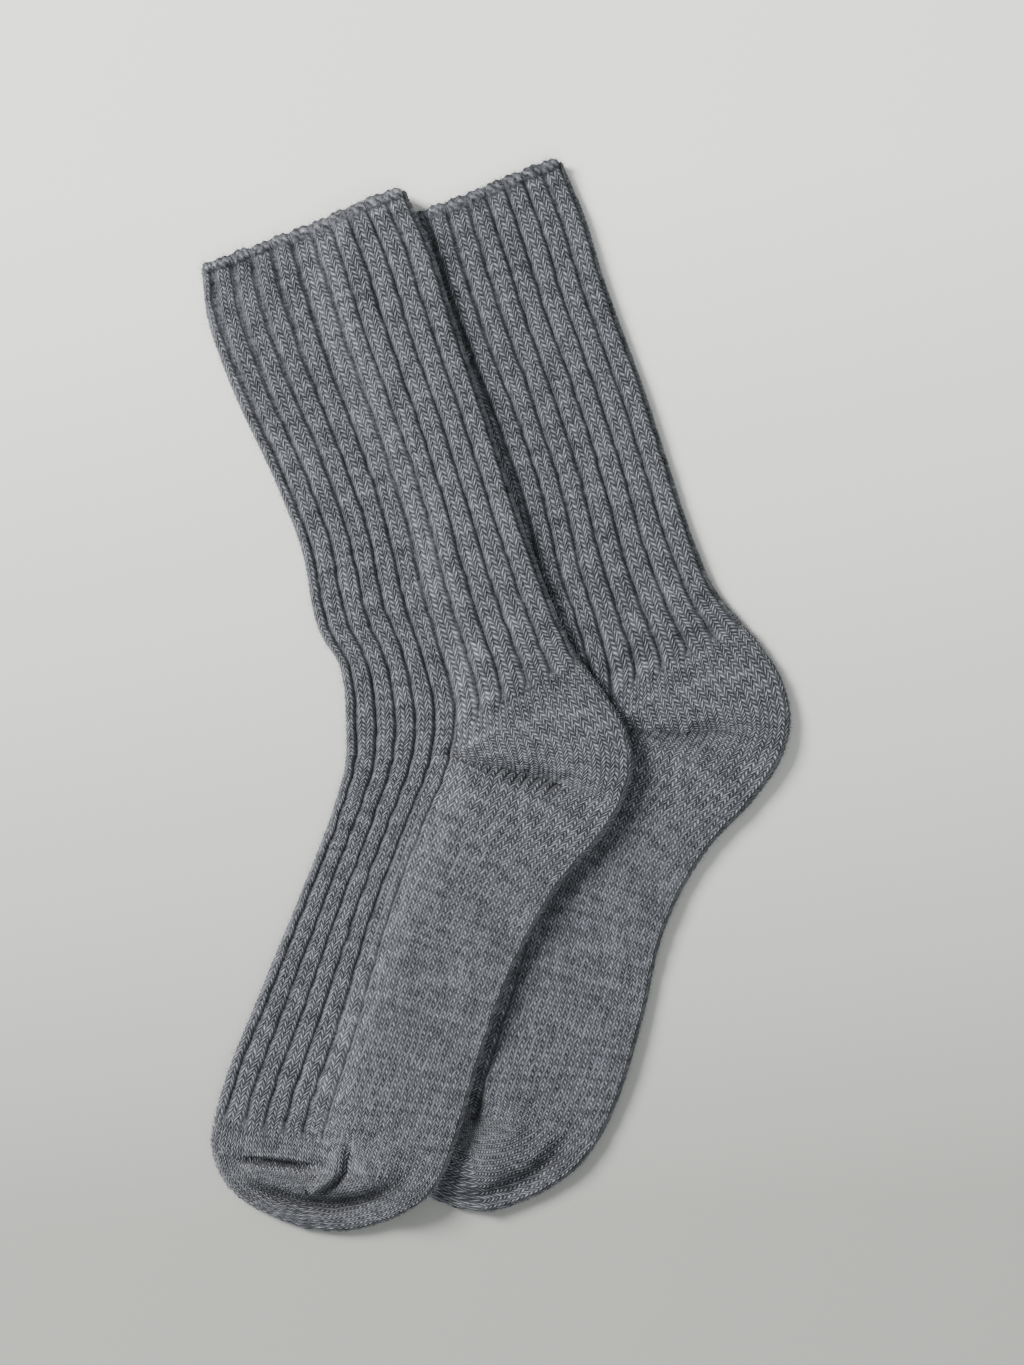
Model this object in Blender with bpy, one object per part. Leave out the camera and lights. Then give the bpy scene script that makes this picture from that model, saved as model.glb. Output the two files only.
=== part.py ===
"""Pair of ribbed crew socks laid flat in profile, the one lying over the edge of the other.

Each sock is one knitted tube: a ribbed cuff and leg, a plain heel pocket, a foot that is ribbed
over the instep and plain along the sole, and a plain closed toe. The outline is given by three
lines that run from cuff to toe: the front fold, the middle wale where instep ribs meet the sole,
and the back fold. Lengths in the tables are millimetres on the surface that the pair lies on.
"""
from collections import namedtuple

import bmesh
import bpy
import numpy as np

MM = 0.001

# Cloth
WALL = 1.5
LOFT = 5.0
LEAST_HOLLOW = 0.5
FOLD_RADIUS = 2.4
CUFF_ROLL = 0.5
CUFF_ROLL_COURSES = 3.0

# Ribs across the upper panel, front fold to back fold
RIBS = 10.7
FIRST_GROOVE = 0.56
MIDDLE_RIB = 5.56
GROOVE_HALF_WIDTH = 0.2
GROOVE_DEPTH = 0.9
PLAIN_DROP = 0.4
HEEL_RIB_END = 100.0
TOE_RIB_END = 187.0
RIB_FADE = 3.0

# Knitted rows: the heel pocket adds rows to the back half only
HEEL_START = 107.0
HEEL_ROWS = 30.0
TOE_END = 217.0
EDGE_POINTS = 150

# How the upper sock lies on the lower one, which is moved by a shift that eases over at its toe
PAIR_SHIFT = (57.7, 11.1)
TOE_SHIFT = (58.5, 7.0)
TOE_SHIFT_START = 184.0
LOWER_TOP = 5.5
CLEARANCE = 0.35
DRAPE_MARGIN = 3.0
DRAPE_REACH = 18.0
PAIR_CENTRE = (0.5, 0.0)

Front = namedtuple("Front", "course front_x front_y middle_x middle_y")
FRONT_ROWS = (
    Front(0, -109.0, 158.0, -69.0, 173.0),
    Front(12, -106.5, 138.0, -62.5, 152.5),
    Front(24, -99.0, 116.5, -55.5, 130.5),
    Front(48, -80.5, 76.0, -41.0, 89.5),
    Front(60, -72.5, 55.5, -34.0, 67.5),
    Front(79, -64.5, 21.5, -25.5, 32.5),
    Front(86, -58.5, 12.0, -21.5, 19.5),
    Front(100, -55.5, -13.0, -15.0, -9.0),
    Front(107, -55.5, -23.0, -17.0, -22.5),
    Front(121, -60.0, -41.5, -26.5, -47.0),
    Front(140, -71.0, -70.5, -38.5, -78.5),
    Front(164, -87.0, -109.5, -51.5, -123.0),
    Front(184, -101.0, -145.0, -63.0, -160.0),
    Front(190, -104.3, -156.5, -64.0, -166.5),
    Front(196, -105.6, -166.5, -64.5, -176.5),
    Front(202, -103.2, -175.8, -66.0, -184.5),
    Front(207, -98.2, -183.6, -67.0, -190.0),
    Front(211, -91.0, -189.3, -67.0, -194.0),
    Front(214, -81.5, -194.0, -66.5, -196.5),
    Front(216, -70.5, -197.9, -64.3, -198.5),
    Front(217, -62.5, -199.0, -62.5, -199.0),
)

Back = namedtuple("Back", "row upper_x upper_y lower_x lower_y")
BACK_ROWS = (
    Back(0, -34.0, 188.0, 24.0, 199.0),
    Back(12, -24.0, 166.5, 33.0, 178.0),
    Back(24, -17.0, 144.5, 40.0, 155.0),
    Back(48, -2.5, 101.5, 55.5, 112.0),
    Back(60, 4.5, 79.5, 62.5, 90.5),
    Back(79, 17.0, 44.0, 74.5, 54.5),
    Back(86, 22.0, 31.5, 79.5, 42.5),
    Back(100, 30.5, 14.0, 91.0, 27.0),
    Back(107, 37.5, 4.5, 98.0, 19.0),
    Back(114.5, 47.5, -11.0, 106.5, 5.0),
    Back(122, 51.0, -25.0, 109.5, -10.0),
    Back(129.5, 47.5, -39.0, 106.0, -24.0),
    Back(137, 41.0, -50.5, 98.0, -36.5),
    Back(151, 25.0, -69.0, 80.0, -56.0),
    Back(170, 9.0, -96.5, 64.0, -84.0),
    Back(194, -5.5, -135.0, 54.0, -123.0),
    Back(214, -15.5, -168.5, 43.6, -155.0),
    Back(220, -18.8, -177.0, 38.9, -164.3),
    Back(226, -24.3, -184.8, 31.5, -174.4),
    Back(232, -32.5, -191.0, 22.3, -181.8),
    Back(238, -42.5, -195.8, 11.8, -187.4),
    Back(243, -51.5, -198.3, 3.0, -190.5),
    Back(246, -58.5, -199.1, -2.2, -191.8),
    Back(247, -62.5, -199.0, -4.0, -192.0),
)

# Largest folds and swellings: a line from start over middle to end, its half width and its rise
Fold = namedtuple("Fold", "start middle end half_width rise")
UPPER_FOLDS = (
    Fold((15.0, -15.0), (24.0, -22.0), (30.0, -32.0), 20.0, 1.4),
    Fold((-17.0, -22.5), (3.5, -27.0), (22.0, -35.0), 3.2, -1.0),
    Fold((-93.0, -173.2), (-79.0, -173.7), (-65.4, -175.2), 1.6, -1.6),
    Fold((-86.0, -176.5), (-63.0, -181.0), (-41.0, -174.0), 6.5, 2.2),
    Fold((-56.9, -168.5), (-57.5, -176.5), (-68.0, -185.0), 1.8, -1.3),
    Fold((-87.5, -182.0), (-63.0, -188.8), (-39.5, -184.5), 2.6, -2.8),
)
LOWER_FOLDS = (
    Fold((74.0, -2.0), (83.0, -9.0), (88.0, -18.0), 20.0, 1.4),
    Fold((41.0, -11.5), (60.0, -11.5), (83.5, -13.0), 3.2, -1.0),
    Fold((4.0, -142.0), (6.0, -158.0), (-2.0, -172.0), 7.5, 1.8),
    Fold((-18.0, -184.0), (9.0, -180.0), (29.0, -162.0), 2.6, -2.4),
)

# Stations along the tube, in rows, and points across it, in ribs
OUTER_STATIONS = np.concatenate((
    np.array((0.0, 3.0)),
    np.linspace(8.0, 104.0, 17),
    np.linspace(107.0, 137.0, 9),
    np.linspace(143.0, 211.0, 11),
    np.linspace(216.0, 244.0, 12),
    np.array((246.0, 247.0)),
))
INNER_STATIONS = np.concatenate((
    np.linspace(0.0, 98.0, 10),
    np.linspace(107.0, 137.0, 5),
    np.linspace(148.0, 208.0, 6),
    np.linspace(217.0, 241.0, 6),
))
EDGE_STEPS = (0.045, 0.16)
LOWER_EDGE_STEPS = (0.045, 0.16, 0.36)
UNDERSIDE_RIB_STEP = 1.0
INNER_RIB_STEP = 1.1
INNER_EDGE_STEPS = (0.05, 0.3)
FOLD_STEPS = 9
MERGE = 0.02 * MM


def smooth(keys, values, at):
    """Value of a table column at any key, along a curve that passes through every row."""
    slopes = np.gradient(values, keys)
    cell = np.clip(np.searchsorted(keys, at, side="right") - 1, 0, len(keys) - 2)
    span = keys[cell + 1] - keys[cell]
    part = (at - keys[cell]) / span
    rest = 1.0 - part
    start = values[cell] * (1.0 + 2.0 * part) * rest ** 2
    end = values[cell + 1] * part ** 2 * (3.0 - 2.0 * part)
    bends = slopes[cell] * part * rest ** 2 - slopes[cell + 1] * part ** 2 * rest
    return start + end + span * bends


def table_line(table, key, names, at):
    """Plan points of one line of the pattern at the given keys."""
    keys = np.array([getattr(row, key) for row in table], dtype=float)
    columns = [np.array([getattr(row, name) for row in table], dtype=float) for name in names]
    return np.stack([smooth(keys, column, at) for column in columns], axis=-1)


def course_of(rows):
    """Course of the front half that belongs to each row: it stands still through the heel."""
    after_heel = np.maximum(rows - HEEL_ROWS, HEEL_START)
    return np.where(rows < HEEL_START, rows, after_heel)


def distance_to_line(points, line):
    """Plan distance from each point to the nearest place on an open line."""
    starts = line[:-1]
    runs = line[1:] - starts
    offsets = points[:, None, :] - starts
    along = np.clip((offsets * runs).sum(2) / np.maximum((runs ** 2).sum(1), 1e-9), 0.0, 1.0)
    return np.linalg.norm(offsets - along[..., None] * runs, axis=2).min(1)


def inside_outline(points, outline):
    """Whether each point lies inside a closed outline."""
    following = np.roll(outline, -1, axis=0)
    x, y = points[:, :1], points[:, 1:]
    spans = (outline[:, 1] > y) != (following[:, 1] > y)
    rise = following[:, 1] - outline[:, 1]
    rise = np.where(rise == 0.0, 1.0, rise)
    crossing = outline[:, 0] + (y - outline[:, 1]) * (following[:, 0] - outline[:, 0]) / rise
    return (spans & (x < crossing)).sum(1) % 2 == 1


def ease(value):
    """Soft step from 0 to 1."""
    value = np.clip(value, 0.0, 1.0)
    return value ** 2 * (3.0 - 2.0 * value)


class Pattern:
    """One sock as it lies: its three lines, its folds and what is under it."""

    def __init__(self, shift, toe_shift, back_names, folds, support=None):
        self.shift = np.array(shift)
        self.toe_shift = np.array(toe_shift)
        self.back_names = back_names
        self.folds = folds
        self.support = support
        courses = np.linspace(0.0, TOE_END, EDGE_POINTS)
        rows = np.linspace(0.0, TOE_END + HEEL_ROWS, EDGE_POINTS)
        self.edge = np.concatenate((self.front(courses), self.back(rows[::-1])))

    def moved(self, courses, names):
        """A line of the front half, moved to where this sock lies."""
        toe = ease((courses - TOE_SHIFT_START) / (TOE_END - TOE_SHIFT_START))[..., None]
        shift = self.shift * (1.0 - toe) + self.toe_shift * toe
        return table_line(FRONT_ROWS, "course", names, courses) + shift

    def front(self, courses):
        """Front fold at the given courses."""
        return self.moved(courses, ("front_x", "front_y"))

    def middle(self, courses):
        """Middle wale at the given courses."""
        return self.moved(courses, ("middle_x", "middle_y"))

    def back(self, rows):
        """Back fold at the given rows."""
        return table_line(BACK_ROWS, "row", self.back_names, rows)

    def plan(self, row, ribs, inset):
        """Plan points of one row across the panel, its ends drawn in by the inset."""
        nearby = np.array((-0.5, 0.0, 0.5))
        course = course_of(np.array(row))
        front = self.front(course + nearby)
        back = self.back(row + nearby)
        middle = self.middle(course)
        front_point = front[1] + inset * side_of(front[2] - front[0], 1.0)
        back_point = back[1] + inset * side_of(back[2] - back[0], -1.0)
        ribs = ribs[:, None]
        before = front_point + (middle - front_point) * ribs / MIDDLE_RIB
        after = middle + (back_point - middle) * (ribs - MIDDLE_RIB) / (RIBS - MIDDLE_RIB)
        return np.where(ribs < MIDDLE_RIB, before, after)

    def loft(self, points):
        """Height of the flat sock over its own underside, with its folds, without its ribs."""
        height = np.full(len(points), LOFT)
        for fold in self.folds:
            distance = distance_to_line(points, fold_line(fold))
            height += fold.rise * np.exp(-(distance / fold.half_width) ** 2)
        return height

    def base(self, points):
        """Height of the underside: flat on the surface, eased up over the sock below."""
        if self.support is None:
            return np.zeros(len(points))
        gap = distance_to_line(points, np.vstack((self.support.edge, self.support.edge[:1])))
        gap = np.where(inside_outline(points, self.support.edge), 0.0, gap)
        return (LOWER_TOP + CLEARANCE) * ease(1.0 - (gap - DRAPE_MARGIN) / DRAPE_REACH)


def side_of(direction, turn):
    """Unit vector at a right angle to a direction, to its left for +1 and right for -1."""
    length = max(np.linalg.norm(direction), 1e-9)
    return turn * np.array((-direction[1], direction[0])) / length


def fold_line(fold):
    """Points along the curve through a fold's start, middle and end."""
    start, middle, end = (np.array(place) for place in (fold.start, fold.middle, fold.end))
    control = 2.0 * middle - 0.5 * (start + end)
    along = np.linspace(0.0, 1.0, FOLD_STEPS)[:, None]
    return (1.0 - along) ** 2 * start + 2.0 * along * (1.0 - along) * control + along ** 2 * end


def round_over(distance, radius):
    """Rise of a fold's rounded side: 0 on the edge, 1 from the radius inwards."""
    inward = np.clip(distance / radius, 0.0, 1.0)
    return np.sqrt(1.0 - (1.0 - inward) ** 2)


def ribbing(ribs, row):
    """How far the ribbed face lies below the crest of its ribs, across one row."""
    to_groove = np.abs((ribs - FIRST_GROOVE + 0.5) % 1.0 - 0.5)
    groove = GROOVE_DEPTH * np.clip(1.0 - to_groove / GROOVE_HALF_WIDTH, 0.0, 1.0)
    course = course_of(np.array(row))
    ribbed_back = 1.0 - ease((row - HEEL_RIB_END) / RIB_FADE)
    ribbed_front = 1.0 - ease((course - TOE_RIB_END) / RIB_FADE)
    ribbed = np.where(ribs > MIDDLE_RIB + GROOVE_HALF_WIDTH, ribbed_back, ribbed_front)
    return ribbed * groove + (1.0 - ribbed) * PLAIN_DROP


def across(edge_steps, inner_steps):
    """Points across a panel in ribs: close together at both folds, as asked between them."""
    near_front = (0.0,) + edge_steps
    near_back = tuple(RIBS - step for step in reversed(near_front))
    return np.concatenate((near_front, inner_steps, near_back))


def ribbed_steps():
    """A groove's floor and its two shoulders, for every groove of the panel."""
    grooves = np.arange(FIRST_GROOVE, RIBS - GROOVE_HALF_WIDTH, 1.0)
    offsets = np.array((-GROOVE_HALF_WIDTH, 0.0, GROOVE_HALF_WIDTH))
    return (grooves[:, None] + offsets).ravel()


def plain_steps(spacing):
    """Evenly spaced points between the folds, the last one well clear of the back fold."""
    return np.arange(spacing, RIBS - 0.7 * spacing, spacing)


def add_skin(bm, stations, upper_ribs, lower_ribs, point_rows):
    """A tube of faces from cuff to toe, and its cuff ring as pairs of place and vertex."""
    around = np.concatenate((upper_ribs, 2.0 * RIBS - lower_ribs[-2:0:-1], (2.0 * RIBS,)))
    made = bmesh.ops.create_grid(bm, x_segments=len(around) - 1, y_segments=len(stations) - 1, size=1.0)
    for vertex, place in zip(made["verts"], np.concatenate(point_rows)):
        vertex.co = place * MM
    return list(zip(around, made["verts"][:len(around)]))


def outer_rows(pattern, upper_ribs, lower_ribs):
    """Rows of points of the outer face: ribbed over the top, plain and flat below."""
    rows = []
    for row in OUTER_STATIONS:
        upper = pattern.plan(row, upper_ribs, 0.0)
        lower = pattern.plan(row, lower_ribs, 0.0)
        roll = CUFF_ROLL * (1.0 - ease(row / CUFF_ROLL_COURSES))
        height = pattern.loft(upper) - ribbing(upper_ribs, row) + roll
        side = round_over(distance_to_line(upper, pattern.edge), FOLD_RADIUS)
        top = pattern.base(upper) + height * (0.5 + 0.5 * side)
        lower_side = round_over(distance_to_line(lower, pattern.edge), FOLD_RADIUS)
        bottom = pattern.base(lower) + 0.5 * (pattern.loft(lower) - PLAIN_DROP) * (1.0 - lower_side)
        bottom[0], bottom[-1] = top[0], top[-1]
        rows.append(ring(upper, top, lower, bottom))
    return rows


def inner_rows(pattern, ribs):
    """Rows of points of the inner face: plain, one wall inside the outer one."""
    edge_lines = [pattern.plan(row, np.array((0.0, RIBS)), WALL) for row in INNER_STATIONS]
    edge = np.array([line[0] for line in edge_lines] + [line[1] for line in reversed(edge_lines)])
    rows = []
    for row in INNER_STATIONS:
        plan = pattern.plan(row, ribs, WALL)
        solid = pattern.loft(plan) - GROOVE_DEPTH
        hollow = np.maximum(solid - 2.0 * WALL, LEAST_HOLLOW)
        side = round_over(distance_to_line(plan, edge), FOLD_RADIUS - WALL)
        if row == INNER_STATIONS[-1]:
            side = np.zeros(len(plan))
        middle = pattern.base(plan) + 0.5 * solid
        rows.append(ring(plan, middle + 0.5 * hollow * side, plan, middle - 0.5 * hollow * side))
    return rows


def ring(upper, top, lower, bottom):
    """One ring of points: over the top from front to back, and back along the underside."""
    over = np.column_stack((upper, top))
    under = np.column_stack((lower, bottom))[-2:0:-1]
    return np.concatenate((over, under, over[:1]))


def close_cuff(bm, outer, inner):
    """Faces of the cuff's edge, between the outer ring and the inner one."""
    i = 0
    j = 0
    while i < len(outer) - 1 or j < len(inner) - 1:
        outer_left = i < len(outer) - 1
        inner_left = j < len(inner) - 1
        if outer_left and (not inner_left or outer[i + 1][0] <= inner[j + 1][0]):
            bm.faces.new((outer[i][1], outer[i + 1][1], inner[j][1]))
            i += 1
        else:
            bm.faces.new((outer[i][1], inner[j + 1][1], inner[j][1]))
            j += 1


def knit_material(name, colour):
    """Matt knitted yarn."""
    material = bpy.data.materials.new(name)
    material.use_nodes = True
    shader = material.node_tree.nodes["Principled BSDF"]
    shader.inputs["Base Color"].default_value = colour
    shader.inputs["Roughness"].default_value = 0.9
    shader.inputs["Metallic"].default_value = 0.0
    return material


def make_sock(name, pattern, material, collection):
    """One sock: outer face, inner face and cuff edge joined into one closed wall."""
    bm = bmesh.new()
    upper_ribs = across(EDGE_STEPS, ribbed_steps())
    lower_ribs = across(LOWER_EDGE_STEPS, plain_steps(UNDERSIDE_RIB_STEP))
    inner_ribs = across(INNER_EDGE_STEPS, plain_steps(INNER_RIB_STEP))
    outer_points = outer_rows(pattern, upper_ribs, lower_ribs)
    inner_points = inner_rows(pattern, inner_ribs)
    outer = add_skin(bm, OUTER_STATIONS, upper_ribs, lower_ribs, outer_points)
    inner = add_skin(bm, INNER_STATIONS, inner_ribs, inner_ribs, inner_points)
    close_cuff(bm, outer, inner)
    bmesh.ops.translate(bm, verts=bm.verts, vec=(-PAIR_CENTRE[0] * MM, -PAIR_CENTRE[1] * MM, 0.0))
    bmesh.ops.remove_doubles(bm, verts=bm.verts, dist=MERGE)
    bmesh.ops.dissolve_degenerate(bm, edges=bm.edges, dist=MERGE)
    bmesh.ops.recalc_face_normals(bm, faces=bm.faces)
    mesh = bpy.data.meshes.new(name)
    bm.to_mesh(mesh)
    bm.free()
    mesh.shade_smooth()
    mesh.materials.append(material)
    sock = bpy.data.objects.new(name, mesh)
    collection.objects.link(sock)
    return sock


def main():
    """Clear the scene and make both socks."""
    for old in list(bpy.data.objects):
        bpy.data.objects.remove(old)
    collection = bpy.data.collections.new("pair_of_socks")
    bpy.context.scene.collection.children.link(collection)
    lower = Pattern(PAIR_SHIFT, TOE_SHIFT, ("lower_x", "lower_y"), LOWER_FOLDS)
    upper = Pattern((0.0, 0.0), (0.0, 0.0), ("upper_x", "upper_y"), UPPER_FOLDS, support=lower)
    make_sock("upper_sock", upper, knit_material("upper_knit", (0.15, 0.155, 0.175, 1.0)), collection)
    make_sock("lower_sock", lower, knit_material("lower_knit", (0.14, 0.145, 0.165, 1.0)), collection)


main()
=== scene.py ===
from collections import namedtuple

import bmesh
import bpy
import numpy as np
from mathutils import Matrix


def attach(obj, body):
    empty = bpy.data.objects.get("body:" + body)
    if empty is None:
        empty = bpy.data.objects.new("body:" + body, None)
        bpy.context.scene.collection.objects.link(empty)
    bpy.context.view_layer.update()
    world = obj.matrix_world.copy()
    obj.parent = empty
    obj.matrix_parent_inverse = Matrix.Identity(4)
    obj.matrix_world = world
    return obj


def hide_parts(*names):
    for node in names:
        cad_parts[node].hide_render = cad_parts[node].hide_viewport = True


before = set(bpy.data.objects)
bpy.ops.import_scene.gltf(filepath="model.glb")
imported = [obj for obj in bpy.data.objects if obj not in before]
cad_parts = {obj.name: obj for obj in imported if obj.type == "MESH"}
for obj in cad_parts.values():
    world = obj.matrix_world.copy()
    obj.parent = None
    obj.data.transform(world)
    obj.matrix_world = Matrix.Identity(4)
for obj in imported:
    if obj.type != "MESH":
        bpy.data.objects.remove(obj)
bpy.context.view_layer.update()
MM = 0.001


# Lower sock, leg and heel
# A tube of thick melange yarn in ribs two knit and two purl wales wide, worked from the cuff down,
# then a plain heel pocket turned with short rows over the back half. The cuff is bound off, and the
# tube lies pressed flat, so that its upper face and its underside meet in a fold at front and back.
WALL = 1.5
LOFT = 5.0
LOFT_SWELL = 0.22
SWELL_LENGTH = 34.0
LEAST_LOFT = 2.0
LOFT_EASE = 0.5
# Depth of a fold's valley at which the shade painted into its colour is full
VALLEY_OF_FULL_SHADE = 3.5
LEAST_HOLLOW = 0.5
FOLD_RADIUS = 2.4
CREST_RISE = 0.36
SKIN_LEVEL = 0.55
FULL_WALE = 1.7
FULL_COURSE = 1.4
PLAIN_DROP = 0.4

# Ribs across the upper face, each of four wales, and the wale where instep and sole meet
RIBS = 10.7
FIRST_GROOVE = 0.56
MIDDLE_RIB = 5.56
MIDDLE_WALE = 20.0
FRONT_WALE = -2.25
BACK_WALE = 40.75
WALE_STEP = 0.25
ROW_STEP = 0.25

# Share of a rib that each purl wale takes: drawn in down the leg, wide and shallow at the cuff
PURL_IN_LEG = 0.075
PURL_IN_PLAIN = 0.25
CUFF_PURL_WALES = (-2.0, 10.0, 18.0, 34.0, 40.0)
CUFF_PURLS = (0.19, 0.15, 0.08, 0.075, 0.13)
CUFF_PURL_END = 46.0
GROOVE_DEPTH = 1.15
WIDE_GROOVE_DEPTH = 0.8
INSTEP_EASE = 0.35
INSTEP_REACH = 12.0
DEPTH_SWELL = 0.14
DEPTH_LENGTH = 21.0
DEPTH_SEED = 5
UNDER_GROOVE_SHARE = 0.6
# Share by which the shade painted into the colour is less in the wide, shallow grooves
WIDE_GROOVE_SHADE = 0.4
GROOVE_SHOULDER = 0.14
RIB_CROWN = 0.3
PURL_YARN = 0.35
PURL_BAR = 0.15

# How far the stitches stray from their even places
WANDER = 0.2
WANDER_LENGTH = 9.0
WANDER_SEEDS = (3, 4)

# Rows by which the two legs of a knit stitch run down, and how sharply the yarn is rounded
LEFT_LEAN = 3.2
RIGHT_LEAN = 1.8
HALF_LEAN = 0.125 * (LEFT_LEAN + RIGHT_LEAN)
LEAN_ROWS = 1.5
LEG_ROUNDING = 1.5
LEG_PLACES = (0.0, 0.25, 0.5, 0.75, 1.0)
LEG_HEIGHTS = (0.0, 1.0, 0.3, 1.0, 0.0)

# Rows counted from the cuff: the heel pocket adds rows to the back half only
HEEL_RIB_END = 99.0
HEEL_START = 107.0
HEEL_ROWS = 30.0
TOE_RIB_END = 187.0
TOE_END = 217.0
RIB_FADE = 4.0
GORE_SHARE = 0.6
RIM_ROWS = 0.8
RIM_SCALLOP = 0.35
RIB_FLARE = 0.5
CORD_START = -0.85
CORD_ROWS = 2.2
CORD_RISE = 0.55
CORD_TWIST = 0.45
CORD_BODY = 0.35
PIT_DEPTH = 0.3
SEAM_SAG = 3.2
SEAM_SAG_AT = 0.66
SEAM_SAG_WIDTH = 0.18
SEAM_REACH = 12.0
HOOK_DEPTH = 0.7
HOOK_ROWS = 1.5
CORNER_ROWS = 1.7
CORNER_WALES = 1.3
CORNER_REACH = 5.0
EDGE_POINTS = 160

Front = namedtuple("Front", "course front_x front_y middle_x middle_y")
FRONT_ROWS = (
    Front(0, -109.0, 158.0, -69.0, 173.0),
    Front(12, -106.5, 138.0, -62.5, 152.5),
    Front(24, -99.0, 116.5, -55.5, 130.5),
    Front(48, -80.5, 76.0, -41.0, 89.5),
    Front(60, -72.5, 55.5, -34.0, 67.5),
    Front(79, -64.5, 21.5, -25.5, 32.5),
    Front(86, -58.5, 12.0, -21.5, 19.5),
    Front(100, -55.5, -13.0, -15.0, -9.0),
    Front(107, -55.5, -23.0, -17.0, -22.5),
    Front(121, -60.0, -41.5, -26.5, -47.0),
    Front(140, -71.0, -70.5, -38.5, -78.5),
    Front(164, -87.0, -109.5, -51.5, -123.0),
    Front(184, -101.0, -145.0, -63.0, -160.0),
    Front(190, -104.3, -156.5, -64.0, -166.5),
    Front(196, -105.6, -166.5, -64.5, -176.5),
    Front(202, -103.2, -175.8, -66.0, -184.5),
    Front(207, -98.2, -183.6, -67.0, -190.0),
    Front(211, -91.0, -189.3, -67.0, -194.0),
    Front(214, -81.5, -194.0, -66.5, -196.5),
    Front(216, -70.5, -197.9, -64.3, -198.5),
    Front(217, -62.5, -199.0, -62.5, -199.0),
)

Back = namedtuple("Back", "row upper_x upper_y lower_x lower_y")
BACK_ROWS = (
    Back(0, -34.0, 188.0, 24.0, 199.0),
    Back(12, -24.0, 166.5, 33.0, 178.0),
    Back(24, -17.0, 144.5, 40.0, 155.0),
    Back(48, -2.5, 101.5, 55.5, 112.0),
    Back(60, 4.5, 79.5, 62.5, 90.5),
    Back(79, 17.0, 44.0, 74.5, 54.5),
    Back(86, 22.0, 31.5, 79.5, 42.5),
    Back(100, 30.5, 14.0, 91.0, 27.0),
    Back(107, 37.5, 4.5, 98.0, 19.0),
    Back(114.5, 47.5, -11.0, 106.5, 5.0),
    Back(122, 51.0, -25.0, 109.5, -10.0),
    Back(129.5, 47.5, -39.0, 106.0, -24.0),
    Back(137, 41.0, -50.5, 98.0, -36.5),
    Back(151, 25.0, -69.0, 80.0, -56.0),
    Back(170, 9.0, -96.5, 64.0, -84.0),
    Back(194, -5.5, -135.0, 54.0, -123.0),
    Back(214, -15.5, -168.5, 43.6, -155.0),
    Back(220, -18.8, -177.0, 38.9, -164.3),
    Back(226, -24.3, -184.8, 31.5, -174.4),
    Back(232, -32.5, -191.0, 22.3, -181.8),
    Back(238, -42.5, -195.8, 11.8, -187.4),
    Back(243, -51.5, -198.3, 3.0, -190.5),
    Back(246, -58.5, -199.1, -2.2, -191.8),
    Back(247, -62.5, -199.0, -4.0, -192.0),
)

# Folds and swellings: a line from start over middle to end, its half width, its rise, and the length
# over which it dies out at each end
Fold = namedtuple("Fold", "start middle end half_width rise die_out", defaults=(0.0,))
LOWER_GORE = Fold((40.7, -11.4), (62.0, -13.5), (83.5, -13.0), 2.4, -0.9)
LOWER_FOLDS = (
    Fold((74.0, -2.0), (83.0, -9.0), (88.0, -18.0), 20.0, 1.4),
    LOWER_GORE,
    Fold((36.0, 6.0), (62.0, 18.0), (90.0, 27.0), 2.5, -0.6, 6.0),
    Fold((70.0, -13.6), (77.0, -13.3), (84.0, -12.8), 2.6, -1.0, 3.0),
    Fold((4.0, -142.0), (6.0, -158.0), (-2.0, -172.0), 7.5, 1.8),
    Fold((-20.0, -184.0), (9.0, -180.5), (32.0, -157.0), 3.1, -2.6, 26.0),
    Fold((-2.0, -176.0), (12.0, -172.0), (22.0, -160.0), 3.0, 0.5),
    Fold((-8.0, -148.5), (-7.2, -152.0), (-8.2, -156.0), 2.0, -2.6),
    Fold((-4.0, -142.5), (-3.0, -147.5), (-3.0, -151.0), 2.2, 1.0),
)

# Soft creases of the hidden underside, which lift it off the surface
LOWER_UNDER_FOLDS = (
    Fold((6.0, -12.0), (28.0, -15.0), (52.0, -27.0), 3.5, 0.6, 12.0),
    Fold((10.0, -84.0), (28.0, -94.0), (50.0, -95.0), 4.0, 0.5, 12.0),
    Fold((-28.0, -128.0), (-6.0, -137.0), (24.0, -136.0), 3.0, 0.6, 12.0),
)
LOWER_SHIFT = (57.7, 11.1)
LOWER_TOE_SHIFT = (58.5, 7.0)
TOE_SHIFT_START = 184.0
PAIR_CENTRE = (0.5, 0.0, 0.0)
FOLD_STEPS = 13
BLOCK = 250
WAVES = 9
MERGE = 0.002 * MM


def smooth(keys, values, at):
    """Value of a table column at any key, along a curve that passes through every row."""
    slopes = np.gradient(values, keys)
    cell = np.clip(np.searchsorted(keys, at, side="right") - 1, 0, len(keys) - 2)
    span = keys[cell + 1] - keys[cell]
    part = (at - keys[cell]) / span
    rest = 1.0 - part
    start = values[cell] * (1.0 + 2.0 * part) * rest ** 2
    end = values[cell + 1] * part ** 2 * (3.0 - 2.0 * part)
    bends = slopes[cell] * part * rest ** 2 - slopes[cell + 1] * part ** 2 * rest
    return start + end + span * bends


def table_line(table, key, names, at):
    """Plan points of one line of the pattern at the given keys."""
    keys = np.array([getattr(row, key) for row in table], dtype=float)
    columns = [np.array([getattr(row, name) for row in table], dtype=float) for name in names]
    return np.stack([smooth(keys, column, at) for column in columns], axis=-1)


def along_fold(fold, share):
    """Points on the curve through a fold's start, middle and end, at the given shares of it."""
    start, middle, end = (np.array(place) for place in (fold.start, fold.middle, fold.end))
    control = 2.0 * middle - 0.5 * (start + end)
    share = np.asarray(share)[..., None]
    return (1.0 - share) ** 2 * start + 2.0 * share * (1.0 - share) * control + share ** 2 * end


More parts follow.
